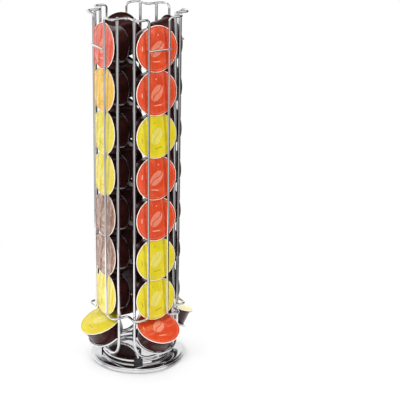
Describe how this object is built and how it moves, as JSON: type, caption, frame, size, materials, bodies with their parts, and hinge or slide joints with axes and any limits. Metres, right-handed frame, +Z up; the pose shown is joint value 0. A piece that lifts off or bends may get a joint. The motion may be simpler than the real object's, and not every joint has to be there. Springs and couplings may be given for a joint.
{
  "type": "coffee capsule dispenser",
  "caption": "Revolving chrome wire tower that keeps coffee capsules on edge in open columns above a turntable dish, with a tilted tray loop at each column's foot to take one from.",
  "frame": {"origin": "centre of the foot pad's underside, where the rack stands on the table, on the turntable's axis", "axes": "+Z up along the turntable's axis, -Y out through the front column, +X out through the right column"},
  "size_m": [0.1538, 0.1538, 0.4375],
  "materials": {
    "pad_rubber": "matt",
    "plate_steel": "plain sheet",
    "glide_plastic": "smooth",
    "rivet_steel": "polished",
    "dish_chrome": "mirror polished",
    "wire_chrome": "mirror polished",
    "clip_plastic": "satin",
    "capsule_red": "satin foil lid on a dark cup",
    "capsule_amber": "satin foil lid on a dark cup",
    "capsule_yellow": "satin foil lid on a dark cup",
    "capsule_brown": "satin foil lid on a dark cup"
  },
  "bodies": {
    "foot": {"foot_pad": "pad_rubber", "foot_plate": "plate_steel", "turntable_glide_ring": "glide_plastic", "pivot_rivet": "rivet_steel"},
    "turntable": {"base_dish": "dish_chrome", "base_ring": "wire_chrome", "ring_clip_front_left": "clip_plastic", "ring_clip_rear_left": "clip_plastic", "ring_clip_rear_right": "clip_plastic", "ring_clip_front_right": "clip_plastic", "post_frame_front": "wire_chrome", "post_frame_left": "wire_chrome", "post_frame_rear": "wire_chrome", "post_frame_right": "wire_chrome", "guard_loop_front_left": "wire_chrome", "guard_loop_rear_left": "wire_chrome", "guard_loop_rear_right": "wire_chrome", "guard_loop_front_right": "wire_chrome", "tray_loop_front": "wire_chrome", "tray_loop_left": "wire_chrome", "tray_loop_rear": "wire_chrome", "tray_loop_right": "wire_chrome", "guard_bar_front": "wire_chrome", "guard_bar_left": "wire_chrome", "guard_bar_rear": "wire_chrome", "guard_bar_right": "wire_chrome"},
    "stack_front": {"capsule_front_2": "capsule_red", "capsule_front_3": "capsule_yellow", "capsule_front_4": "capsule_red", "capsule_front_5": "capsule_red", "capsule_front_6": "capsule_yellow", "capsule_front_7": "capsule_yellow"},
    "top_front": {"capsule_front_1": "capsule_red"},
    "tray_front": {"capsule_front_8": "capsule_red"},
    "stack_left": {"capsule_left_2": "capsule_amber", "capsule_left_3": "capsule_yellow", "capsule_left_4": "capsule_yellow", "capsule_left_5": "capsule_brown", "capsule_left_6": "capsule_brown", "capsule_left_7": "capsule_yellow"},
    "top_left": {"capsule_left_1": "capsule_red"},
    "tray_left": {"capsule_left_8": "capsule_yellow"},
    "stack_rear": {"capsule_rear_2": "capsule_yellow", "capsule_rear_3": "capsule_red", "capsule_rear_4": "capsule_brown", "capsule_rear_5": "capsule_yellow", "capsule_rear_6": "capsule_amber", "capsule_rear_7": "capsule_red"},
    "top_rear": {"capsule_rear_1": "capsule_amber"},
    "tray_rear": {"capsule_rear_8": "capsule_amber"},
    "stack_right": {"capsule_right_2": "capsule_red", "capsule_right_3": "capsule_amber", "capsule_right_4": "capsule_yellow", "capsule_right_5": "capsule_red", "capsule_right_6": "capsule_brown", "capsule_right_7": "capsule_yellow"},
    "top_right": {"capsule_right_1": "capsule_yellow"},
    "tray_right": {"capsule_right_8": "capsule_yellow"}
  },
  "joints": [
    {"name": "turntable_spin", "type": "hinge", "parent": "foot", "child": "turntable", "pos_m": [0, 0, 0], "axis": [0, 0, 1], "continuous": true},
    {"name": "stack_slide_front", "type": "slide", "parent": "turntable", "child": "stack_front", "axis": [0, 0, 1], "range_m": [0, 0.051]},
    {"name": "top_load_front", "type": "slide", "parent": "stack_front", "child": "top_front", "axis": [0, 0, 1], "range_m": [0, 0.07]},
    {"name": "tray_tip_front", "type": "hinge", "parent": "turntable", "child": "tray_front", "pos_m": [0, -0.028, 0.052], "axis": [-1, 0, 0], "range_deg": [0, 10]},
    {"name": "stack_slide_left", "type": "slide", "parent": "turntable", "child": "stack_left", "axis": [0, 0, 1], "range_m": [0, 0.051]},
    {"name": "top_load_left", "type": "slide", "parent": "stack_left", "child": "top_left", "axis": [0, 0, 1], "range_m": [0, 0.07]},
    {"name": "tray_tip_left", "type": "hinge", "parent": "turntable", "child": "tray_left", "pos_m": [-0.028, 0, 0.052], "axis": [0, 1, 0], "range_deg": [0, 10]},
    {"name": "stack_slide_rear", "type": "slide", "parent": "turntable", "child": "stack_rear", "axis": [0, 0, 1], "range_m": [0, 0.051]},
    {"name": "top_load_rear", "type": "slide", "parent": "stack_rear", "child": "top_rear", "axis": [0, 0, 1], "range_m": [0, 0.07]},
    {"name": "tray_tip_rear", "type": "hinge", "parent": "turntable", "child": "tray_rear", "pos_m": [0, 0.028, 0.052], "axis": [1, 0, 0], "range_deg": [0, 10]},
    {"name": "stack_slide_right", "type": "slide", "parent": "turntable", "child": "stack_right", "axis": [0, 0, 1], "range_m": [0, 0.051]},
    {"name": "top_load_right", "type": "slide", "parent": "stack_right", "child": "top_right", "axis": [0, 0, 1], "range_m": [0, 0.07]},
    {"name": "tray_tip_right", "type": "hinge", "parent": "turntable", "child": "tray_right", "pos_m": [0.028, 0, 0.052], "axis": [0, -1, 0], "range_deg": [0, 10]}
  ]
}
